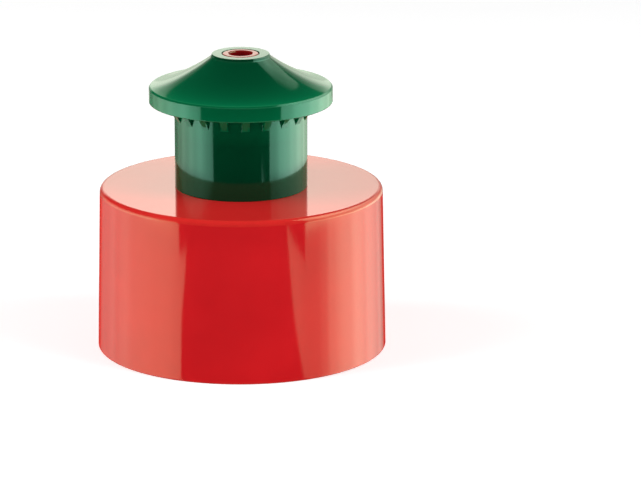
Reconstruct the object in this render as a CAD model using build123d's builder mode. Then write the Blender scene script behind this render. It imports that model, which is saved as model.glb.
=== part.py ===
from build123d import *
import os

# Push-pull closure for a bottle of washing-up liquid or detergent, shut.
# Two mouldings: a body that is pressed on the bottle's neck, and a spout that slides on the body's tower.
# Millimetres. The origin is the centre of the skirt's open rim, and +Z runs up through the spout.

# Skirt and deck of the closure body
rim_radius = 17.4
shoulder_radius = 17.0
deck_height = 19.75
shoulder_round = 0.6
shoulder_bands = 2
rim_break = 0.25

# Inside of the skirt, from the open rim upwards
shroud_radius = 15.9
shelf_height = 9.9
shelf_lead = 0.5
neck_radius = 14.2
ledge_height = 15.4
ledge_slope = 0.7
channel_outer_radius = 12.8
channel_inner_radius = 11.6
channel_top = 18.9
plug_face_height = 18.0

# Tower in the middle of the deck, and the spider of spokes that holds the plug pin
tower_radius = 6.45
tower_top = 31.5
tower_bore_radius = 5.6
bore_lip = 0.5
spider_thickness = 1.5
spoke_count = 3
spoke_width = 1.85
hub_radius = 2.6
hub_top = 31.9
pin_root_height = 33.0
pin_radius = 2.18
pin_tip_break = 0.15
dimple_radius = 1.4
dimple_depth = 2.5
dimple_taper = 4

# Pull spout
total_height = 36.0
barrel_radius = 7.95
barrel_bore_radius = 6.9
flange_radius = 11.0
flange_bottom = 30.12
flange_edge_break = 0.2
flange_lip = 1.0
recess_outer_height = 31.05
recess_inner_height = 31.9
hat_foot_height = 32.08
hat_bands = 3
tip_radius = 3.45
tip_shoulder_radius = 3.55
tip_shoulder_drop = 0.33
orifice_radius = 2.25
orifice_land = 1.3
ceiling_edge_height = 32.3

# Gusset ribs between the barrel and the hollow of the flange
rib_count = 20
rib_thickness = 0.9
rib_bottom = 28.3
rib_reach = 9.6
rib_first_angle = 4
root_depth = 0.3

# Fit of the spout on the tower: the rings on both mouldings run with the same clearance
running_clearance = 0.06
ring_radius = barrel_bore_radius - running_clearance
bead_radius = tower_radius + running_clearance
bead_height = 1.2
bead_lead = 0.35
travel = 5.0
ring_land = 1.0
ring_slope = 0.5
seal_bottom = 29.9

bead_top = deck_height + bead_height
stop_bottom = bead_top + travel
stop_top = stop_bottom + ring_land
spider_bottom = tower_top - spider_thickness


def banded(curve, bands):
    """Points along a curve, which is turned as a few straight bands that stay within 0.07 mm of it."""
    return [curve @ (i / bands) for i in range(bands + 1)]


with BuildPart() as closure_body:
    # Skirt and deck as one drafted block, before its inside is cored out
    with BuildSketch(Plane.XZ):
        with BuildLine():
            shoulder = RadiusArc(
                (shoulder_radius, deck_height - shoulder_round),
                (shoulder_radius - shoulder_round, deck_height),
                -shoulder_round,
                mode=Mode.PRIVATE,
            )
            Polyline(
                (0, 0),
                (rim_radius - rim_break, 0),
                (rim_radius, rim_break),
                *banded(shoulder, shoulder_bands),
                (0, deck_height),
                close=True,
            )
        make_face()
    revolve(axis=Axis.Z)

    # Tower, with the stop ring that ends the spout's travel and the seal ring at its top
    with BuildSketch(Plane.XZ):
        with BuildLine():
            Polyline(
                (0, plug_face_height),
                (tower_radius, plug_face_height),
                (tower_radius, stop_bottom),
                (ring_radius, stop_bottom),
                (ring_radius, stop_top),
                (tower_radius, stop_top + ring_slope),
                (tower_radius, seal_bottom),
                (ring_radius, seal_bottom),
                (ring_radius, tower_top - ring_slope),
                (tower_radius, tower_top),
                (0, tower_top),
                close=True,
            )
        make_face()
    revolve(axis=Axis.Z)

    # Inside of the skirt: shroud, shelf, neck bore, ledge, and the channel for the rim of the bottle's neck
    with BuildSketch(Plane.XZ):
        with BuildLine():
            Polyline(
                (0, 0),
                (shroud_radius, 0),
                (shroud_radius, shelf_height),
                (neck_radius + shelf_lead, shelf_height),
                (neck_radius, shelf_height + shelf_lead),
                (neck_radius, ledge_height),
                (channel_outer_radius, ledge_height + ledge_slope),
                (channel_outer_radius, channel_top),
                (channel_inner_radius, channel_top),
                (channel_inner_radius, plug_face_height),
                (0, plug_face_height),
                close=True,
            )
        make_face()
    revolve(axis=Axis.Z, mode=Mode.SUBTRACT)

    # Bore of the tower, up to the underside of the spider, with a broken edge at its mouth
    with BuildSketch(Plane.XY.offset(plug_face_height)):
        Circle(tower_bore_radius)
    extrude(amount=spider_bottom - plug_face_height, mode=Mode.SUBTRACT)
    bore_mouth = closure_body.edges().filter_by_position(Axis.Z, plug_face_height, plug_face_height)
    chamfer(bore_mouth.sort_by(SortBy.LENGTH)[0], length=bore_lip)

    # Windows between the spokes, where the liquid passes the hub
    with BuildSketch(Plane.XY.offset(spider_bottom)):
        Circle(tower_bore_radius)
        Circle(hub_radius, mode=Mode.SUBTRACT)
        with PolarLocations(0, spoke_count):
            Rectangle(tower_radius, spoke_width, align=(Align.MIN, Align.CENTER), mode=Mode.SUBTRACT)
    extrude(amount=spider_thickness, mode=Mode.SUBTRACT)

    # Hub and plug pin, which shuts the orifice and is flush with the spout's tip
    with BuildSketch(Plane.XZ):
        with BuildLine():
            Polyline(
                (0, spider_bottom),
                (hub_radius, spider_bottom),
                (hub_radius, hub_top),
                (pin_radius, pin_root_height),
                (pin_radius, total_height - pin_tip_break),
                (pin_radius - pin_tip_break, total_height),
                (0, total_height),
                close=True,
            )
        make_face()
    revolve(axis=Axis.Z)
    with BuildSketch(Plane.XY.offset(total_height)):
        Circle(dimple_radius)
    extrude(amount=-dimple_depth, taper=dimple_taper, mode=Mode.SUBTRACT)


with BuildPart() as pull_spout:
    # Barrel, flange and hat as one wall, with the retaining bead at its foot and the orifice at its tip
    with BuildSketch(Plane.XZ):
        with BuildLine():
            hat = Bezier(
                (flange_radius - flange_edge_break, hat_foot_height),
                (9.0, 32.35),
                (5.65, 34.05),
                (tip_shoulder_radius, total_height - tip_shoulder_drop),
                mode=Mode.PRIVATE,
            )
            Polyline(
                (barrel_radius, deck_height),
                (barrel_radius, recess_inner_height),
                (flange_radius - flange_lip, recess_outer_height),
                (flange_radius - flange_lip, flange_bottom),
                (flange_radius, flange_bottom),
                (flange_radius, hat_foot_height - flange_edge_break),
                *banded(hat, hat_bands),
                (tip_radius, total_height),
                (orifice_radius, total_height),
                (orifice_radius, total_height - orifice_land),
                (barrel_bore_radius, ceiling_edge_height),
                (barrel_bore_radius, bead_top),
                (bead_radius, bead_top),
                (bead_radius, deck_height + bead_lead),
                (bead_radius + bead_lead, deck_height),
                close=True,
            )
        make_face()
    revolve(axis=Axis.Z)

    # Gusset ribs that carry the flange, each running out to nothing on the barrel
    with BuildSketch(Plane.XZ):
        with BuildLine():
            Polyline(
                (barrel_radius - root_depth, rib_bottom),
                (barrel_radius, rib_bottom),
                (rib_reach, recess_outer_height),
                (rib_reach, recess_outer_height + root_depth),
                (barrel_radius - root_depth, recess_inner_height + root_depth),
                close=True,
            )
        make_face()
    gusset = extrude(amount=rib_thickness / 2, both=True, mode=Mode.PRIVATE)
    with PolarLocations(0, rib_count, start_angle=rib_first_angle):
        add(gusset)


closure_body.part.label = "closure_body"
pull_spout.part.label = "pull_spout"

os.makedirs("parts", exist_ok=True)
export_step(closure_body.part, "parts/closure_body.step")
export_step(pull_spout.part, "parts/pull_spout.step")
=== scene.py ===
# %% [markdown]
# # A push-pull closure for a bottle, shut
# The object is a cap in two mouldings. A red body is pressed on the neck of a bottle, and a green spout
# slides 5 mm up and down on the body's tower. Pushed down, a red pin in the middle plugs the hole in the
# spout's tip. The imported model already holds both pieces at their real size. This notebook loads them,
# keeps their sizes and places, and gives each one a finer skin with softened edges, a moulded finish, a
# studio and a camera.

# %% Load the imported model
import math

import bpy
import numpy as np
from mathutils import Matrix, Vector


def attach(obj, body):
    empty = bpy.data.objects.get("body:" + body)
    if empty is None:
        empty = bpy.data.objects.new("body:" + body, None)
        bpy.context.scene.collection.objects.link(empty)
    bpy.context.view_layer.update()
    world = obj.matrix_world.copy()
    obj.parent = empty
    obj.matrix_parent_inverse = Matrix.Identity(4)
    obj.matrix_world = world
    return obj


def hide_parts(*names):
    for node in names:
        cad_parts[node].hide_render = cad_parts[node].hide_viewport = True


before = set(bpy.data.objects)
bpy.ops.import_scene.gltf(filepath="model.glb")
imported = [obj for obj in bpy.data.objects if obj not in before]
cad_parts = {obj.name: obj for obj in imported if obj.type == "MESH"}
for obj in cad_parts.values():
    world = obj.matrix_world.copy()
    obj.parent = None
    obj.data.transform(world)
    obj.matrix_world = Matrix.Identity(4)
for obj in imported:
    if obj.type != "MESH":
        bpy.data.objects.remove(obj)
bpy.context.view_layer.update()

mm = 0.001

# %% [markdown]
# ## The camera
# The picture was taken with a long lens from about half a metre away, 15 degrees above the table. A long
# lens keeps the top and bottom circles of the cap almost the same width. The cap stands left of the
# picture's middle, so the camera is turned a little to the right and down. Turning it, and not shifting
# the lens, leaves nothing to undo when the cap is looked at from other sides. It also leans by a third of
# a degree, as the picture does.

# %% Camera at the picture's angle
picture_width = 641
picture_height = 502
aim_pixel_x = 241.4
aim_pixel_y = 207.1
focal_pixels = 4570
aim_height = 17 * mm
view_distance = 550 * mm
view_elevation = math.radians(15.03)
lean = math.radians(0.3)

camera_data = bpy.data.cameras.new("camera")
camera_data.lens = focal_pixels * camera_data.sensor_width / picture_width
camera = bpy.data.objects.new("camera", camera_data)
bpy.context.collection.objects.link(camera)
bpy.context.scene.camera = camera

turn_right = math.atan((picture_width / 2 - aim_pixel_x) / focal_pixels)
turn_down = math.atan((picture_height / 2 - aim_pixel_y) / focal_pixels)
camera_place = (
    0,
    -view_distance * math.cos(view_elevation),
    aim_height + view_distance * math.sin(view_elevation),
)
camera.matrix_world = (
    Matrix.Translation(camera_place)
    @ Matrix.Rotation(math.pi / 2 - view_elevation, 4, "X")
    @ Matrix.Rotation(-lean, 4, "Z")
    @ Matrix.Rotation(-turn_right, 4, "Y")
    @ Matrix.Rotation(-turn_down, 4, "X")
)
print("lens in mm", round(camera_data.lens, 1))
print("turned in degrees", round(math.degrees(turn_right), 2), round(math.degrees(turn_down), 2))

# %% [markdown]
# ## Surfaces from grids
# Nearly everything here is round, so one idea makes it all: a grid of points whose rows follow an outline
# and whose columns go round the axis. A mesh could also come from a screw or a spin, but a grid worked
# out with whole arrays lets every row have its own spacing, and lets the outline change with the angle
# where it has to.

# %% Grid helpers
def grid_faces(rows, columns, closed=False):
    """Quads of a grid that closes round its columns: face (i, j) joins the points (i, j), (i + 1, j),
    (i + 1, j + 1) and (i, j + 1), in that order. A closed grid joins its last row to its first as well."""
    row = np.arange(rows if closed else rows - 1)[:, None]
    column = np.arange(columns)[None, :]
    below = (row + 1) % rows
    beside = (column + 1) % columns
    corners = (
        row * columns + column,
        below * columns + column,
        below * columns + beside,
        row * columns + beside,
    )
    return np.stack(corners, axis=-1)


def turned(radii, heights, angles):
    """Points of a turned surface: (r cos a, r sin a, z), for arrays that broadcast to rows by columns."""
    radii, heights, angles = np.broadcast_arrays(radii, heights, angles)
    return np.stack((radii * np.cos(angles), radii * np.sin(angles), heights), axis=-1)


def mesh_object(name, points, faces, sharp_degrees=40):
    """A smooth-shaded object from points and faces, with edges sharper than sharp_degrees left crisp."""
    mesh = bpy.data.meshes.new(name)
    mesh.from_pydata(points.reshape(-1, 3).tolist(), [], faces)
    mesh.polygons.foreach_set("use_smooth", np.ones(len(mesh.polygons), dtype=bool))
    mesh.set_sharp_from_angle(angle=math.radians(sharp_degrees))
    mesh.update()
    made = bpy.data.objects.new(name, mesh)
    bpy.context.collection.objects.link(made)
    return made


# %% [markdown]
# ## Short ways to add nodes
# A material is a tree of small nodes, and each of their sockets takes a plain value or a link from
# another node. Written out, every node is several lines. These functions make it one: each adds a node,
# feeds its inputs, and gives back the output that the next node needs. They work in a material, in the
# world and in a node group.

# %% Node helpers
def feed(tree, socket, given):
    """Links an output to the socket, or sets the socket to a plain value."""
    if isinstance(given, bpy.types.NodeSocket):
        tree.links.new(given, socket)
    else:
        socket.default_value = given


def maths(tree, operation, *terms):
    """Result of one operation on the terms, which are taken in the order of the node's sockets."""
    node = tree.nodes.new("ShaderNodeMath")
    node.operation = operation
    for socket, term in zip(node.inputs, terms):
        feed(tree, socket, term)
    return node.outputs["Value"]


def mixed(tree, kind, share, first, second):
    """A colour (RGBA) or a number (FLOAT) between two others: (1 - share) * first + share * second."""
    node = tree.nodes.new("ShaderNodeMix")
    node.data_type = kind
    feed(tree, node.inputs["Factor"], share)
    feed(tree, node.inputs["A"], first)
    feed(tree, node.inputs["B"], second)
    return node.outputs["Result"]


def mapped(tree, value, source, target=(0, 1), easing="LINEAR"):
    """A value moved from the source range to the target range, and kept inside the target."""
    node = tree.nodes.new("ShaderNodeMapRange")
    node.interpolation_type = easing
    feed(tree, node.inputs["Value"], value)
    for name, number in zip(("From Min", "From Max", "To Min", "To Max"), (*source, *target)):
        node.inputs[name].default_value = number
    return node.outputs["Result"]


def noise(tree, place, scale, detail, dimensions="3D"):
    """Smooth noise at a place: a point, or for the dimensions 1D one number, such as a distance."""
    node = tree.nodes.new("ShaderNodeTexNoise")
    node.noise_dimensions = dimensions
    node.inputs["Scale"].default_value = scale
    node.inputs["Detail"].default_value = detail
    feed(tree, node.inputs["W" if dimensions == "1D" else "Vector"], place)
    return node.outputs["Fac"]


def vector_maths(tree, operation, output, *terms):
    """The named output of one operation on vectors."""
    node = tree.nodes.new("ShaderNodeVectorMath")
    node.operation = operation
    for socket, term in zip(node.inputs, terms):
        feed(tree, socket, term)
    return node.outputs[output]


def empty_material(name):
    """A material whose node tree is empty."""
    material = bpy.data.materials.new(name)
    material.use_nodes = True
    material.node_tree.nodes.clear()
    return material


def finish_tree(tree, shader, kind="ShaderNodeOutputMaterial"):
    """Adds the output of a material, or of the world by its kind, and links the shader to its surface."""
    output = tree.nodes.new(kind)
    tree.links.new(shader, output.inputs["Surface"])


# %% [markdown]
# ## Floor and background
# The picture has a pure white background. The floor is a pale matt sheet that keeps the cap's soft
# shadow, and a little light of its own, seen by the camera alone, lifts it to white. Below the cap it has
# a round hole that the skirt's rim covers, so that the hollow inside is lit when the cap is looked at
# from below, and from that side the sheet can be seen through.

# %% Floor
bpy.context.scene.view_settings.view_transform = "Standard"

floor_columns = 96
floor_hole_radius = 16.6 * mm
floor_radius = 4000 * mm
floor_colour = (0.86, 0.86, 0.86, 1)
floor_lift = 0.5

floor_angles = np.linspace(0, 2 * math.pi, floor_columns, endpoint=False)
floor_radii = np.array([floor_radius, floor_hole_radius])[:, None]
floor = mesh_object(
    "floor",
    turned(floor_radii, 0.0, floor_angles),
    grid_faces(2, floor_columns)[:, :, ::-1].reshape(-1, 4).tolist(),
)
floor.visible_glossy = False
print("floor faces", len(floor.data.polygons))

# %% Floor sheet
floor_sheet = empty_material("floor_sheet")
tree = floor_sheet.node_tree
ray = tree.nodes.new("ShaderNodeLightPath")
paper = tree.nodes.new("ShaderNodeBsdfDiffuse")
paper.inputs["Color"].default_value = floor_colour
glow = tree.nodes.new("ShaderNodeEmission")
feed(tree, glow.inputs["Strength"], maths(tree, "MULTIPLY", ray.outputs["Is Camera Ray"], floor_lift))
lifted = tree.nodes.new("ShaderNodeAddShader")
feed(tree, lifted.inputs[0], paper.outputs["BSDF"])
feed(tree, lifted.inputs[1], glow.outputs["Emission"])
clear = tree.nodes.new("ShaderNodeBsdfTransparent")
side = tree.nodes.new("ShaderNodeNewGeometry")
from_either_side = tree.nodes.new("ShaderNodeMixShader")
feed(tree, from_either_side.inputs["Fac"], side.outputs["Backfacing"])
feed(tree, from_either_side.inputs[1], lifted.outputs["Shader"])
feed(tree, from_either_side.inputs[2], clear.outputs["BSDF"])
finish_tree(tree, from_either_side.outputs["Shader"])
floor.data.materials.append(floor_sheet)
print("floor sheet nodes", len(tree.nodes))

# %% [markdown]
# ## Light from the room
# The world does two jobs. It fills every shadow with plain white light, and it is the white seen beyond
# the floor. Glossy plastic would mirror all of that white and look washed out, so reflections see a dim
# room, and the bright shapes in them come from the cards of the next cells.

# %% World
room_fill = 0.165
room_in_reflections = 0.02

world = bpy.data.worlds.new("room")
world.use_nodes = True
bpy.context.scene.world = world
tree = world.node_tree
tree.nodes.clear()
ray = tree.nodes.new("ShaderNodeLightPath")
seen = maths(tree, "MULTIPLY_ADD", ray.outputs["Is Camera Ray"], 1 - room_fill, room_fill)
mirrored = maths(tree, "MULTIPLY_ADD", ray.outputs["Is Glossy Ray"], room_in_reflections - room_fill, seen)
room = tree.nodes.new("ShaderNodeBackground")
room.inputs["Color"].default_value = (1, 1, 1, 1)
feed(tree, room.inputs["Strength"], mirrored)
finish_tree(tree, room.outputs["Background"], kind="ShaderNodeOutputWorld")
print("room nodes", len(tree.nodes))

# %% [markdown]
# ## Cards for the reflections
# The look of the cap is mostly what it mirrors. Its upright walls show a light band on the left and on
# the right with a dark field between them: two tall diffusers and nothing in front. Its level faces, the
# deck and the tip, mirror a bright backdrop and turn almost white. A photographer stands white cards
# round the object for that, and so does this scene. The cards show in reflections alone, so their size
# and distance shape the reflections and leave the light level as it is. They reach below the floor,
# because an upright wall seen from above mirrors what is lower than itself.
#
# The light of a card is written down as a few stops along it, and a second row of stops dims or brightens
# it with the height. What the skirt mirrors lies lower on the side cards than what the walls above the
# deck mirror, so the two parts have stops of their own. They have tints of their own too, which bring the
# bands on the red and on the green plastic to their colours in the picture. The outermost edges of the
# skirt mirror the far ends of the side cards. These ends turn red, and keep the edges from looking dark
# or grey.

# %% Card light
view_fall = math.tan(view_elevation)
wall_split = 24.3 * mm
wall_blend = 1.2 * mm
far_light = (1, 0.1, 0.07, 1)
far_full = 150 * mm
fold_detail = 2
fold_shade = (0.92, 1.05)

# Nearly all values of a noise lie between these two
noise_span = (0.3, 0.7)


def strength_along(tree, value, stops):
    """Strength along a card from stops (place in mm, strength), eased from each stop to the next."""
    places = np.array([place for place, strength in stops]) * mm
    peak = max(strength for place, strength in stops)
    shares = (places - places[0]) / (places[-1] - places[0])
    ramp = tree.nodes.new("ShaderNodeValToRGB")
    ramp.color_ramp.interpolation = "EASE"
    elements = ramp.color_ramp.elements
    while len(elements) < len(stops):
        elements.new(0.5)
    for element, share, (place, strength) in zip(elements, shares, stops):
        element.position = share
        element.color = (strength / peak, strength / peak, strength / peak, 1)
    feed(tree, ramp.inputs["Fac"], mapped(tree, value, (places[0], places[-1])))
    return maths(tree, "MULTIPLY", ramp.outputs["Color"], peak)


# %% Card cloth
def cloth(name, axis, low, high, rise, tints, far_start, fold_scale):
    """Light from a cloth with faint upright folds. A wall at the height h mirrors the height
    z = h - tan(view elevation) * distance, and the distance is taken from the cap's axis. So the low stops
    and the first tint hold where z + tan(view elevation) * distance is under wall_split, on what the skirt
    mirrors, and the high stops and the second tint hold above it. The strength is
    stops(axis) * folds(axis) * rise(z). From far_start to far_full along the axis the first tint turns into
    far_light, which a far_start beyond the card's edge leaves out."""
    material = empty_material(name)
    tree = material.node_tree
    place = tree.nodes.new("ShaderNodeTexCoord").outputs["Object"]
    split = tree.nodes.new("ShaderNodeSeparateXYZ")
    feed(tree, split.inputs["Vector"], place)
    along, height = split.outputs[axis], split.outputs["Z"]

    level_place = vector_maths(tree, "MULTIPLY", "Vector", place, (1, 1, 0))
    distance = vector_maths(tree, "LENGTH", "Value", level_place)
    wall_height = maths(tree, "MULTIPLY_ADD", distance, view_fall, height)
    over_deck = mapped(tree, wall_height, (wall_split, wall_split + wall_blend), easing="SMOOTHSTEP")

    far = mapped(tree, along, (far_start * mm, far_full))
    low_tint = mixed(tree, "RGBA", far, tints[0], far_light)
    low_strength = strength_along(tree, along, low)
    high_strength = strength_along(tree, along, high)
    strength = mixed(tree, "FLOAT", over_deck, low_strength, high_strength)
    folds = noise(tree, along, fold_scale, fold_detail, dimensions="1D")
    folded = maths(tree, "MULTIPLY", strength, mapped(tree, folds, noise_span, fold_shade))

    light = tree.nodes.new("ShaderNodeEmission")
    feed(tree, light.inputs["Color"], mixed(tree, "RGBA", over_deck, low_tint, tints[1]))
    feed(tree, light.inputs["Strength"], maths(tree, "MULTIPLY", folded, strength_along(tree, height, rise)))
    finish_tree(tree, light.outputs["Emission"])
    return material


def card(name, corners, material):
    """A flat card through the corners, in millimetres, that only reflections can see."""
    made = mesh_object(name, np.array(corners) * mm, [list(range(len(corners)))])
    made.data.materials.append(material)
    made.visible_camera = False
    made.visible_diffuse = False
    made.visible_transmission = False
    made.visible_shadow = False
    print(name, "corners", len(corners), "nodes", len(material.node_tree.nodes))


# %% Left card
side_card_x = 70
skirt_tint = (0.96, 1, 0.85, 1)
spout_tint = (0.82, 1, 0.76, 1)
side_tints = (skirt_tint, spout_tint)

left_edge = (
    (-62, 10), (-66, -4), (-80, -5.5), (-77, -8), (-70, -13), (-68, -30), (-68, -60), (420, -130),
    (420, 40), (-62, 40),
)
left_low = (
    (-80, 1.8), (-55, 2.4), (-48, 2.6), (-12, 2.5), (4, 2.12), (26, 1.41), (60, 1.0), (80, 0.95),
    (112, 0.95), (150, 0.85), (420, 0.8),
)
left_high = (
    (-62, 2.6), (-47, 3.4), (-23, 5.0), (-6, 4.3), (20, 2.5), (56, 1.05), (100, 0.35), (140, 0.25),
    (420, 0.2),
)
left_rise = ((-60, 1), (17, 1), (27, 0.62), (40, 0.55))
left_cloth = cloth(
    "left_cloth",
    axis="Y",
    low=left_low,
    high=left_high,
    rise=left_rise,
    tints=side_tints,
    far_start=30,
    fold_scale=45,
)
card("left_card", [(-side_card_x, y, z) for y, z in left_edge], left_cloth)

# %% Right card
right_edge = (
    (-62, 10), (-64, -4.5), (-104, -6), (-98, -10), (-87, -16), (-67, -22), (-56, -34), (-56, -60),
    (420, -130), (420, 30), (140, 60), (136, 100), (138, 118), (156, 130), (156, 190), (111, 184),
    (78, 168), (-42, 160),
)
right_low = (
    (-104, 1.7), (-79, 1.5), (-57, 1.1), (-46, 1.2), (-36, 1.7), (-28, 3.0), (-10, 4.3), (4, 4.4),
    (22, 3.2), (61, 1.6), (112, 0.7), (150, 0.7), (420, 0.68),
)
right_high = (
    (-104, 1.5), (-73, 2.0), (-63, 3.3), (-42, 4.2), (-25, 6.0), (-6, 6.6), (27, 5.4), (60, 3.2),
    (114, 1.5), (260, 0.6), (420, 0.4),
)
right_rise = (
    (-60, 1), (17, 1), (27, 0.5), (50, 0.44), (72, 0.9), (120, 0.75), (145, 0.5), (190, 0.05),
)
right_cloth = cloth(
    "right_cloth",
    axis="Y",
    low=right_low,
    high=right_high,
    rise=right_rise,
    tints=side_tints,
    far_start=108,
    fold_scale=60,
)
card("right_card", [(side_card_x, y, z) for y, z in right_edge], right_cloth)

# %% Back card
back_card_y = 150
back_tint = (1, 0.945, 0.825, 1)

back_edge = (
    (-95, -8), (-95, 118), (-50, 118), (-34, 106), (-15, 94), (30, 90), (44, 102), (60, 112),
    (95, 118), (95, -8),
)
back_spread = (
    (-95, 0.1), (-62, 0.45), (-44, 1), (-8, 1.1), (10, 0.93), (24, 0.88), (42, 0.62), (62, 0.5),
    (95, 0.48),
)
back_rise = (
    (-8, 0.95), (22, 1.1), (46, 1.5), (55, 2.4), (66, 2.6), (73, 2.05), (84, 1.2), (94, 0.8),
    (106, 0.6), (118, 0),
)
back_cloth = cloth(
    "back_cloth",
    axis="X",
    low=back_spread,
    high=back_spread,
    rise=back_rise,
    tints=(back_tint, back_tint),
    far_start=140,
    fold_scale=12,
)
card("back_card", [(x, back_card_y, z) for x, z in back_edge], back_cloth)

# %% [markdown]
# ## Lamps
# Two broad lamps stand to the left and to the right of the cap, 35 degrees above it and a little nearer
# to the camera than it is. They light the flanks of the round walls more than their front, and give the
# floor its soft shadow. The level is plain: together with the room they bring a white surface that faces
# a lamp to a little under white. Reflections don't see the lamps, because the cards are there for that.

# %% Lamps
lamp_distance = 400
lamp_size = 260
lamp_lift = math.radians(35)


def soft_lamp(name, turn, watts):
    """A square area lamp that faces the cap's middle. It is turned round the cap from the camera's side: turn
    degrees to the right, or to the left where they are negative."""
    data = bpy.data.lights.new(name, "AREA")
    data.size = lamp_size * mm
    data.energy = watts
    made = bpy.data.objects.new(name, data)
    bpy.context.collection.objects.link(made)
    out = Vector((
        math.sin(math.radians(turn)) * math.cos(lamp_lift),
        -math.cos(math.radians(turn)) * math.cos(lamp_lift),
        math.sin(lamp_lift),
    ))
    place = Vector((0, 0, aim_height)) + out * lamp_distance * mm
    made.matrix_world = Matrix.Translation(place) @ (-out).to_track_quat("-Z", "Y").to_matrix().to_4x4()
    made.visible_glossy = False
    print(name, "at", [round(v / mm) for v in place])


soft_lamp("left_lamp", turn=-78, watts=1.1)
soft_lamp("right_lamp", turn=66, watts=1.06)

# %% [markdown]
# ## Softened corners
# No moulding has a perfectly sharp edge, and a small round at each corner is what catches the light. An
# outline is written down as its corners, each with the radius of its round. A bevel modifier could round
# the finished mesh, but on an outline it costs only a few rows, and each corner can have its own radius.
# One more point beside each round keeps the flat faces next to it flat in the shading. A corner also says
# which side of the mould shaped it, and how much painted shade or painted glow its colour gets there. That
# painted shading runs evenly from corner to corner.

# %% Outline helper
round_steps = 6
guard = 0.05 * mm
longest_share = 0.45


def softened(corners, closed=False):
    """Rows (r, z, edge, inside, tone) of an outline from its corners (r, z, radius, inside, tone). The first
    three numbers of a corner are in millimetres. Edge is 1 on a round and 0 beside it, inside is 1 on faces
    that the core of the mould shaped, and the last number, tone, is painted shading that scales the colour:
    under 1 for painted shade, over 1 for painted glow. A round touches both runs at radius * tan(turn / 2)
    from the corner, or nearer on a short run, and is cut into equal angles: p(s) = c + (sin((1 - s) turn) u +
    sin(s turn) v) / sin(turn)."""
    corners = np.array(corners, dtype=float)
    corners[:, :3] *= mm
    rows = []
    for k, (r, z, radius, inside, painted_shading) in enumerate(corners):
        here = np.array((r, z))
        ends = not closed and k in (0, len(corners) - 1)
        if ends or radius == 0:
            rows.append((r, z, 0, inside, painted_shading))
            continue
        back = corners[k - 1, :2] - here
        ahead = corners[(k + 1) % len(corners), :2] - here
        back_length, ahead_length = np.linalg.norm(back), np.linalg.norm(ahead)
        back, ahead = back / back_length, ahead / ahead_length
        turn = math.pi - math.acos(np.clip(back @ ahead, -1, 1))
        reach = min(radius * math.tan(turn / 2), longest_share * min(back_length, ahead_length))
        fitted = reach / math.tan(turn / 2)
        middle = here + (back + ahead) / np.linalg.norm(back + ahead) * fitted / math.cos(turn / 2)
        first, last = here + back * reach - middle, here + ahead * reach - middle
        share = np.linspace(0, 1, round_steps + 1)[:, None]
        arc = middle + (np.sin((1 - share) * turn) * first + np.sin(share * turn) * last) / math.sin(turn)
        if reach + guard < 0.5 * back_length:
            rows.append((*(here + back * (reach + guard)), 0, inside, painted_shading))
        rows.extend((*point, 1, inside, painted_shading) for point in arc)
        if reach + guard < 0.5 * ahead_length:
            rows.append((*(here + ahead * (reach + guard)), 0, inside, painted_shading))
    return np.array(rows)


# %% [markdown]
# ## The body's outline
# The outline starts on the axis at the bottom of the dimple in the pin, goes over the pin's tip and down
# to the spider, over the tower with its two rings, across the deck and down the skirt to the rim. There
# it turns in and follows the core of the mould: the smooth shroud, the shelf, the bore that grips the
# bottle's neck, the channel for the neck's rim, and the tower's own bore up to the spider's underside.
# All the faces on that side are duller, because a core isn't polished as a show face is. The colour carries
# painted shade: the pin's tip and its dimple are painted dark, for the shade on the small red disc in the
# middle of the tip, and the deck is painted darker towards the tower, in the shade of the spout.

# %% Body outline
rim_radius = 17.4
shoulder_radius = 17.0
deck_height = 19.75
shroud_radius = 15.9
shelf_height = 9.9
shelf_lead = 0.5
neck_radius = 14.2
ledge_height = 15.4
ledge_slope = 0.7
channel_outer_radius = 12.8
channel_inner_radius = 11.6
channel_top = 18.9
plug_face_height = 18.0
tower_radius = 6.45
tower_top = 31.5
tower_bore_radius = 5.6
bore_lip = 0.5
ring_radius = 6.84
ring_land = 1.0
ring_slope = 0.5
stop_bottom = 25.95
seal_bottom = 29.9
spider_bottom = 30.0
hub_radius = 2.6
hub_top = 31.9
pin_root_height = 33.0
pin_radius = 2.18
total_height = 36.0
dimple_radius = 1.4
dimple_depth = 2.5
dimple_taper = math.radians(4)
dimple_floor_radius = dimple_radius - dimple_depth * math.tan(dimple_taper)

# The last number of each corner is painted shading: painted shade in the dimple, on the pin's tip and on the
# deck next to the tower.
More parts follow.
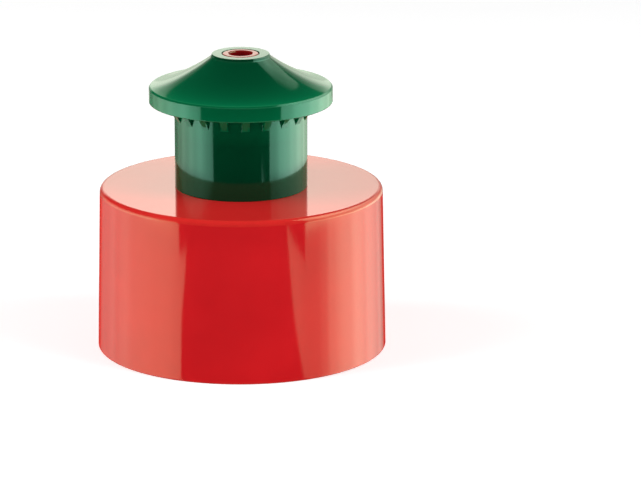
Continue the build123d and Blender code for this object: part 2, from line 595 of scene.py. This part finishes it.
body_corners = [
    (0, total_height - dimple_depth, 0, 0, 0.12),
    (dimple_floor_radius, total_height - dimple_depth, 0.3, 0, 0.12),
    (dimple_radius, total_height, 0.18, 0, 0.3),
    (pin_radius, total_height, 0.15, 0, 0.35),
    (pin_radius, pin_root_height, 0.3, 0, 1),
    (hub_radius, hub_top, 0.2, 0, 1),
    (hub_radius, tower_top, 0, 0, 1),
    (tower_bore_radius, tower_top, 0, 0, 1),
    (tower_radius, tower_top, 0.12, 0, 1),
    (ring_radius, tower_top - ring_slope, 0.15, 0, 1),
    (ring_radius, seal_bottom, 0.1, 0, 1),
    (tower_radius, seal_bottom, 0.1, 0, 1),
    (tower_radius, stop_bottom + ring_land + ring_slope, 0.2, 0, 1),
    (ring_radius, stop_bottom + ring_land, 0.15, 0, 1),
    (ring_radius, stop_bottom, 0.08, 0, 1),
    (tower_radius, stop_bottom, 0.08, 0, 1),
    (tower_radius, deck_height, 0.15, 0, 0.86),
    (shoulder_radius, deck_height, 0.6, 0, 1),
    (rim_radius, 0, 0.25, 0, 1),
    (shroud_radius, 0, 0.2, 1, 1),
    (shroud_radius, shelf_height, 0.4, 1, 1),
    (neck_radius + shelf_lead, shelf_height, 0.25, 1, 1),
    (neck_radius, shelf_height + shelf_lead, 0.25, 1, 1),
    (neck_radius, ledge_height, 0.2, 1, 1),
    (channel_outer_radius, ledge_height + ledge_slope, 0.3, 1, 1),
    (channel_outer_radius, channel_top, 0.3, 1, 1),
    (channel_inner_radius, channel_top, 0.3, 1, 1),
    (channel_inner_radius, plug_face_height, 0.2, 1, 1),
    (tower_bore_radius + bore_lip, plug_face_height, 0.4, 1, 1),
    (tower_bore_radius, plug_face_height + bore_lip, 0.4, 1, 1),
    (tower_bore_radius, spider_bottom, 0, 1, 1),
    (hub_radius, spider_bottom, 0, 1, 1),
    (0, spider_bottom, 0, 1, 1),
]
body_rows = softened(body_corners)
print("body outline rows", len(body_rows))

# %% [markdown]
# ## The spider and its windows
# Three spokes hold the hub in the tower's bore, and the liquid passes through the windows between them.
# The columns of the grid are placed to suit: on the hub and in the bore some of them run along the flanks
# of the spokes, which stay parallel, and everywhere else they are evenly spaced. Then the faces over the
# windows are left out, above and below, and walls join the rows that already lie round each window. So
# the body stays one closed skin. Cutting the windows with a boolean would do it too, but leaves uneven
# triangles.

# %% Columns of the body
spoke_count = 3
spoke_width = 1.85
spoke_columns = 9
window_columns = 55
body_columns = spoke_count * (spoke_columns + window_columns)


def spoke_angles(radius):
    """Angles of all columns on a circle: asin(h / radius) for even offsets h across a spoke, then even steps
    over the window to the next spoke."""
    offsets = np.linspace(-spoke_width / 2, spoke_width / 2, spoke_columns)
    across = np.arcsin(offsets / radius)
    sector = 2 * math.pi / spoke_count
    over = np.linspace(across[-1], sector + across[0], window_columns + 2)[1:-1]
    one = np.concatenate((across, over))
    return (one + np.arange(spoke_count)[:, None] * sector).ravel()


near = 0.01
even_angles = (np.arange(body_columns) - (spoke_columns - 1) / 2) * 2 * math.pi / body_columns
on_hub = body_rows[:, 0] < (hub_radius + near) * mm
on_bore = np.abs(body_rows[:, 0] - tower_bore_radius * mm) < near * mm
body_angles = np.where(on_hub[:, None], spoke_angles(hub_radius), even_angles)
body_angles = np.where(on_bore[:, None], spoke_angles(tower_bore_radius), body_angles)
print("rows on the hub", int(on_hub.sum()), "and in the bore", int(on_bore.sum()))


# %% Faces of the body
def row_at(rows, r, z):
    """Index of the row nearest to the outline point (r, z), in millimetres."""
    return int(np.argmin(np.hypot(rows[:, 0] - r * mm, rows[:, 1] - z * mm)))


body_grid = turned(body_rows[:, 0, None], body_rows[:, 1, None], body_angles)
body_quads = grid_faces(len(body_rows), body_columns)
above_in = row_at(body_rows, hub_radius, tower_top)
above_out = row_at(body_rows, tower_bore_radius, tower_top)
below_out = row_at(body_rows, tower_bore_radius, spider_bottom)
below_in = row_at(body_rows, hub_radius, spider_bottom)

column = np.arange(body_columns)
in_window = column % (spoke_columns + window_columns) >= spoke_columns - 1
beside = (column + 1) % body_columns


def wall(upper, lower):
    """Quads between two rows over the window columns, from the upper row down to the lower one."""
    here, there = column[in_window], beside[in_window]
    corners = (
        upper * body_columns + here,
        lower * body_columns + here,
        lower * body_columns + there,
        upper * body_columns + there,
    )
    return np.stack(corners, axis=-1)


flank_start = column[in_window & ~np.roll(in_window, 1)]
flank_end = beside[in_window & ~np.roll(in_window, -1)]


def flank(at, order):
    """Quads over the flanks of the spokes, through the four rows round the windows in the given order."""
    return np.stack([row * body_columns + at for row in order], axis=-1)


kept = np.ones(body_quads.shape[:2], dtype=bool)
kept[above_in, in_window] = False
kept[below_out, in_window] = False
last_pole = len(body_rows) - 1
kept[[0, last_pole - 1]] = False
top_fan = np.stack((np.zeros_like(column), body_columns + column, body_columns + beside), axis=-1)
last_ring = (last_pole - 1) * body_columns
bottom_pole = np.full_like(column, last_pole * body_columns)
bottom_fan = np.stack((last_ring + column, bottom_pole, last_ring + beside), axis=-1)
body_faces = [
    *body_quads[kept].tolist(),
    *wall(above_in, below_in).tolist(),
    *wall(below_out, above_out).tolist(),
    *flank(flank_start, (above_in, above_out, below_out, below_in)).tolist(),
    *flank(flank_end, (above_out, above_in, below_in, below_out)).tolist(),
    *top_fan.tolist(),
    *bottom_fan.tolist(),
]
body_piece = mesh_object("red_body", body_grid, body_faces)
print("body vertices", len(body_piece.data.vertices), "faces", len(body_piece.data.polygons))

# %% [markdown]
# ## The spout's outline
# The outline runs round the whole section once: from the hole in the tip down the hat, over the rim and its
# hollow underside, down the barrel, round the bead at its foot that snaps under the tower's stop ring, and up
# the bore to the ceiling and the hole again. The hat is hollow-cheeked, steep at the tip and almost flat at
# the rim, and a cubic curve with four control points gives that shape. The colour carries painted light and
# shade: a painted glow, for the light that comes through the thin green plastic, at the foot of the hat, on
# the rim and in the hollow below it, and painted shade on the flat of the tip, at the top of the hat, and low
# on the barrel, which lies in the shade of the rim with the red tower behind it.

# %% Spout outline
barrel_radius = 7.95
barrel_bore_radius = 6.9
flange_radius = 11.0
flange_bottom = 30.12
flange_top = 31.88
lip_radius = 10.0
recess_outer_height = 31.05
recess_inner_height = 31.9
shade_top = 26.4
rib_bottom = 28.3
rib_guard = 0.05
rib_reach = 9.6
recess_slope = (recess_inner_height - recess_outer_height) / (lip_radius - barrel_radius)
rib_top = recess_outer_height + (lip_radius - rib_reach) * recess_slope
bead_radius = 6.51
bead_lead = 0.35
bead_top = 20.95
ceiling_edge_height = 32.3
tip_radius = 3.45
orifice_radius = 2.25
orifice_land = 1.3
hat_controls = np.array(((3.55, 35.67), (5.65, 34.05), (9.0, 32.35), (10.8, 32.08)))
hat_rows = 22
# Painted shading of the hat: painted shade at its top, rising to a painted glow at its foot.
hat_top_painted_shade = 0.5
hat_foot_painted_glow = 1.5


def cubic(controls, count):
    """Points of a cubic curve for even steps of s from 0 to 1:
    (1 - s)^3 a + 3 (1 - s)^2 s b + 3 (1 - s) s^2 c + s^3 d."""
    s = np.linspace(0, 1, count)[:, None]
    a, b, c, d = controls
    return (1 - s) ** 3 * a + 3 * (1 - s) ** 2 * s * b + 3 * (1 - s) * s**2 * c + s**3 * d


hat = cubic(hat_controls, hat_rows)
hat_painted_shading = hat_top_painted_shade + (hat_foot_painted_glow - hat_top_painted_shade) * np.linspace(0, 1, hat_rows) ** 3
# The last number of each corner is painted shading: painted shade on the flat of the tip and low on the
# barrel, painted glow on the rim and in its hollow.
spout_corners = [
    (orifice_radius, total_height, 0.08, 0, 0.3),
    (tip_radius, total_height, 0.12, 0, 0.3),
    (*hat[0], 0.3, 0, hat_painted_shading[0]),
    *[(r, z, 0, 0, painted_shading) for (r, z), painted_shading in zip(hat[1:-1], hat_painted_shading[1:-1])],
    (*hat[-1], 0.12, 0, hat_painted_shading[-1]),
    (flange_radius, flange_top, 0.12, 0, 1.2),
    (flange_radius, flange_bottom, 0.15, 0, 1.45),
    (lip_radius, flange_bottom, 0.1, 0, 2),
    (lip_radius, recess_outer_height, 0.25, 0, 1.9),
    (rib_reach, rib_top, 0, 0, 1.9),
    (barrel_radius, recess_inner_height, 0.25, 0, 1.6),
    (barrel_radius, rib_bottom, 0, 0, 1.2),
    (barrel_radius, rib_bottom - rib_guard, 0, 0, 1.15),
    (barrel_radius, shade_top, 0, 0, 0.58),
    (barrel_radius, deck_height, 0.08, 0, 0.45),
    (bead_radius + bead_lead, deck_height, 0.15, 1, 0.6),
    (bead_radius, deck_height + bead_lead, 0.2, 1, 0.8),
    (bead_radius, bead_top, 0.15, 1, 1),
    (barrel_bore_radius, bead_top, 0.1, 1, 1),
    (barrel_bore_radius, ceiling_edge_height, 0.3, 1, 1),
    (orifice_radius, total_height - orifice_land, 0.2, 1, 1),
]
gap_rows = softened(spout_corners, closed=True)
print("spout outline rows", len(gap_rows))

# %% [markdown]
# ## The gusset ribs
# Twenty thin ribs brace the rim against the barrel. Each one is a flat gusset: in section it follows a
# straight line from the barrel up into the rim's hollow, where a gap between ribs has the hollow's own
# outline. So the grid has two outlines with the same number of rows, and each column uses one or the other.
# Columns on a rib keep their distance from its middle, which gives the rib parallel sides, and the others
# share out the gap. The ribs are the thinnest part of the moulding, and they get the strongest painted glow,
# a lighter colour for the light that comes through them.

# %% Rib and gap columns
rib_count = 20
rib_first_angle = math.radians(4)
rib_half_thickness = 0.45 * mm
rib_draft = 0.02 * mm
rib_painted_glow = 2.1
gap_columns = 15

rib_rows = gap_rows.copy()
rib_start = row_at(gap_rows, rib_reach, rib_top)
rib_end = row_at(gap_rows, barrel_radius, rib_bottom)
stretch = gap_rows[rib_start : rib_end + 1, :2]
walked = np.concatenate(([0], np.cumsum(np.linalg.norm(np.diff(stretch, axis=0), axis=1))))
walked = (walked / walked[-1])[:, None]
rib_rows[rib_start : rib_end + 1, :2] = stretch[0] * (1 - walked) + stretch[-1] * walked

crest = rib_half_thickness - rib_draft
root = rib_half_thickness + rib_draft
rib_offsets = np.array((-root, -crest, -crest / 2, 0, crest / 2, crest, root))
gap_shares = np.linspace(0, 1, gap_columns + 2)[1:-1]
offsets = np.concatenate((rib_offsets, np.full(gap_columns, root)))
shares = np.concatenate((np.zeros(len(rib_offsets)), gap_shares))
on_rib = np.abs(offsets) < rib_half_thickness
on_rib[len(rib_offsets):] = False

# Painted shading for every column, with the ribs' painted glow over their rows.
spout_painted_shading = np.repeat(gap_rows[:, 4, None], len(offsets), axis=1)
spout_painted_shading[rib_start : rib_end + 1, on_rib] = rib_painted_glow
print("columns on a rib", int(on_rib.sum()), "and over a gap", len(offsets) - int(on_rib.sum()))

# %% [markdown]
# Near the axis the circles are so small that ribs of full thickness would meet, so there the spacing is
# the one that fits the barrel. The circle itself is exact at every row, whatever the spacing.

# %% Spout skin
pitch = 2 * math.pi / rib_count
radii = np.where(on_rib, rib_rows[:, 0, None], gap_rows[:, 0, None])
heights = np.where(on_rib, rib_rows[:, 1, None], gap_rows[:, 1, None])
spacing_radius = np.maximum(radii, barrel_radius * mm)
half_angle = np.arcsin(root / spacing_radius)
one_pitch = np.arcsin(offsets / spacing_radius) + shares * (pitch - 2 * half_angle)
rib_angles = rib_first_angle + np.arange(rib_count) * pitch
spout_angles = (rib_angles[None, :, None] + one_pitch[:, None, :]).reshape(len(gap_rows), -1)
spout_columns = spout_angles.shape[1]
spout_grid = turned(np.tile(radii, (1, rib_count)), np.tile(heights, (1, rib_count)), spout_angles)
spout_faces = grid_faces(len(gap_rows), spout_columns, closed=True).reshape(-1, 4).tolist()
spout_piece = mesh_object("green_spout", spout_grid, spout_faces, sharp_degrees=35)
print("spout vertices", len(spout_piece.data.vertices), "faces", len(spout_piece.data.polygons))


# %% Marks on the skins
def mark(piece, name, values):
    """Stores one number for each vertex under a name that a material can read."""
    attribute = piece.data.attributes.new(name, "FLOAT", "POINT")
    attribute.data.foreach_set("value", np.ascontiguousarray(values, dtype=np.float32).ravel())


mark(body_piece, "edge", np.repeat(body_rows[:, 2], body_columns))
mark(body_piece, "core", np.repeat(body_rows[:, 3], body_columns))
mark(body_piece, "painted_shading", np.repeat(body_rows[:, 4], body_columns))
mark(spout_piece, "edge", np.repeat(gap_rows[:, 2], spout_columns))
mark(spout_piece, "core", np.repeat(gap_rows[:, 3], spout_columns))
mark(spout_piece, "painted_shading", np.tile(spout_painted_shading, (1, rib_count)))


# %% Volumes
def volume(piece):
    """Volume of a closed skin in cubic millimetres: the sum of a . (b x c) / 6 over its triangles."""
    mesh = piece.data
    mesh.calc_loop_triangles()
    points = np.empty(len(mesh.vertices) * 3)
    mesh.vertices.foreach_get("co", points)
    corners = np.empty(len(mesh.loop_triangles) * 3, dtype=np.int32)
    mesh.loop_triangles.foreach_get("vertices", corners)
    a, b, c = points.reshape(-1, 3)[corners].reshape(-1, 3, 3).transpose(1, 0, 2)
    return float(np.einsum("ij,ij->", a, np.cross(b, c)) / 6 / mm**3)


for piece in (body_piece, spout_piece):
    print(piece.name, "mm3", round(volume(piece), 1), "triangles", len(piece.data.loop_triangles))

# %% [markdown]
# ## The moulded finish
# Both pieces are injection-moulded polypropylene, polished outside and duller on the core side. The finish
# that they share is one node group. It paints a highlight on the rounded edges, where thin plastic lets light
# through, by lightening their colour. It clouds the colour a little and scales it by the painted shading of
# the outline, painted shade and painted glow. It lays long shallow waves in the polished faces, so that
# reflections aren't ruler-straight, and gives the core side a fine grain.

# %% Finish helpers
def stored(tree, name):
    """The number that mark() stored for each vertex under the name."""
    node = tree.nodes.new("ShaderNodeAttribute")
    node.attribute_name = name
    return node.outputs["Fac"]


def bumped(tree, **inputs):
    """Normal of a surface that is raised by Height * Distance, from the inputs of a bump node by name."""
    node = tree.nodes.new("ShaderNodeBump")
    for name, given in inputs.items():
        feed(tree, node.inputs[name], given)
    return node.outputs["Normal"]


# %% Finish group
cloud_scale = 110
cloud_shade = (0.93, 1.05)
rough_spread = (0.8, 1.25)
edge_highlight_share = 0.35
grain_scale = 5200
wave_scales = (230, 230, 32)


def finish_group():
    """Node group that turns a plain colour into a moulded one, with a painted highlight on the edges and the
    outline's painted shading, and gives its roughness and normal.
    """
    tree = bpy.data.node_groups.new("moulded_finish", "ShaderNodeTree")
    sockets = tree.interface
    for name in ("Colour", "Edge Highlight Colour"):
        sockets.new_socket(name=name, in_out="INPUT", socket_type="NodeSocketColor")
    for name in ("Face Roughness", "Core Roughness", "Wave Depth", "Grain Depth"):
        sockets.new_socket(name=name, in_out="INPUT", socket_type="NodeSocketFloat")
    sockets.new_socket(name="Colour", in_out="OUTPUT", socket_type="NodeSocketColor")
    sockets.new_socket(name="Roughness", in_out="OUTPUT", socket_type="NodeSocketFloat")
    sockets.new_socket(name="Normal", in_out="OUTPUT", socket_type="NodeSocketVector")
    given = tree.nodes.new("NodeGroupInput").outputs
    result = tree.nodes.new("NodeGroupOutput").inputs
    place = tree.nodes.new("ShaderNodeTexCoord").outputs["Object"]
    core = stored(tree, "core")

    cloud = noise(tree, place, cloud_scale, detail=3)
    # Painted highlight: the rounds take on the lighter edge colour. Painted light and shade: the stored
    # painted shading scales the colour, together with the clouds.
    painted_edge_highlight = maths(tree, "MULTIPLY", stored(tree, "edge"), edge_highlight_share)
    edge_highlighted = mixed(tree, "RGBA", painted_edge_highlight, given["Colour"], given["Edge Highlight Colour"])
    clouds_and_painted_shading = maths(tree, "MULTIPLY", mapped(tree, cloud, noise_span, cloud_shade), stored(tree, "painted_shading"))
    shaded = tree.nodes.new("ShaderNodeHueSaturation")
    feed(tree, shaded.inputs["Color"], edge_highlighted)
    feed(tree, shaded.inputs["Value"], clouds_and_painted_shading)
    feed(tree, result["Colour"], shaded.outputs["Color"])

    sided = mixed(tree, "FLOAT", core, given["Face Roughness"], given["Core Roughness"])
    spread = mapped(tree, cloud, (0, 1), rough_spread)
    feed(tree, result["Roughness"], maths(tree, "MULTIPLY", sided, spread))

    stretched = tree.nodes.new("ShaderNodeMapping")
    stretched.inputs["Scale"].default_value = wave_scales
    feed(tree, stretched.inputs["Vector"], place)
    waves = noise(tree, stretched.outputs["Vector"], scale=1, detail=1)
    grain = noise(tree, place, grain_scale, detail=2)
    waved = bumped(tree, Height=waves, Distance=given["Wave Depth"])
    grained = bumped(tree, Height=grain, Distance=given["Grain Depth"], Strength=core, Normal=waved)
    feed(tree, result["Normal"], grained)
    return tree


moulded_finish = finish_group()
print("finish group nodes", len(moulded_finish.nodes))

# %% [markdown]
# ## Red and green plastic
# Each colour is its own material round the shared finish. The gloss is the plain surface reflection of
# plastic, an index of refraction of 1.5, with low roughness, so the cards show as clear shapes with
# slightly soft edges. In real plastic some light goes in, scatters, and comes out coloured, also at
# glancing angles. The shader's surface doesn't do that, so a tint on the gloss and a weak sheen in the
# plastic's own colour stand in for it.

# %% Plastics
plastic_ior = 1.5
face_roughness = 0.08
sheen_roughness = 0.5
wave_depth = 0.004 * mm
grain_depth = 0.006 * mm


def plastic(name, colour, edge_highlight_colour, gloss_tint, sheen_tint, sheen_weight, core_roughness):
    """A moulded plastic: the shared finish in its own colours, with its own gloss tint and sheen."""
    material = bpy.data.materials.new(name)
    material.use_nodes = True
    tree = material.node_tree
    finish = tree.nodes.new("ShaderNodeGroup")
    finish.node_tree = moulded_finish
    finish.inputs["Colour"].default_value = (*colour, 1)
    finish.inputs["Edge Highlight Colour"].default_value = (*edge_highlight_colour, 1)
    finish.inputs["Face Roughness"].default_value = face_roughness
    finish.inputs["Core Roughness"].default_value = core_roughness
    finish.inputs["Wave Depth"].default_value = wave_depth
    finish.inputs["Grain Depth"].default_value = grain_depth
    shader = tree.nodes["Principled BSDF"]
    shader.inputs["IOR"].default_value = plastic_ior
    shader.inputs["Specular Tint"].default_value = (*gloss_tint, 1)
    shader.inputs["Sheen Weight"].default_value = sheen_weight
    shader.inputs["Sheen Roughness"].default_value = sheen_roughness
    shader.inputs["Sheen Tint"].default_value = (*sheen_tint, 1)
    feed(tree, shader.inputs["Base Color"], finish.outputs["Colour"])
    feed(tree, shader.inputs["Roughness"], finish.outputs["Roughness"])
    feed(tree, shader.inputs["Normal"], finish.outputs["Normal"])
    print(name, "nodes", len(tree.nodes))
    return material


# The edge colours are painted highlights on the rounded edges.
red_plastic = plastic(
    "red_plastic",
    colour=(0.765, 0.012, 0.018),
    edge_highlight_colour=(0.85, 0.05, 0.03),
    gloss_tint=(1, 1, 0.72),
    sheen_tint=(1, 0.06, 0.04),
    sheen_weight=0.25,
    core_roughness=0.32,
)
green_plastic = plastic(
    "green_plastic",
    colour=(0.0, 0.083, 0.029),
    edge_highlight_colour=(0.02, 0.16, 0.07),
    gloss_tint=(0.45, 1, 0.95),
    sheen_tint=(0, 1, 0.38),
    sheen_weight=0.28,
    core_roughness=0.3,
)
body_piece.data.materials.append(red_plastic)
spout_piece.data.materials.append(green_plastic)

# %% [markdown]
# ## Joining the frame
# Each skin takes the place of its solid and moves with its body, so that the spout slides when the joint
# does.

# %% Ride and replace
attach(body_piece, "closure")
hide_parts("closure_body")
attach(spout_piece, "spout")
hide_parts("pull_spout")
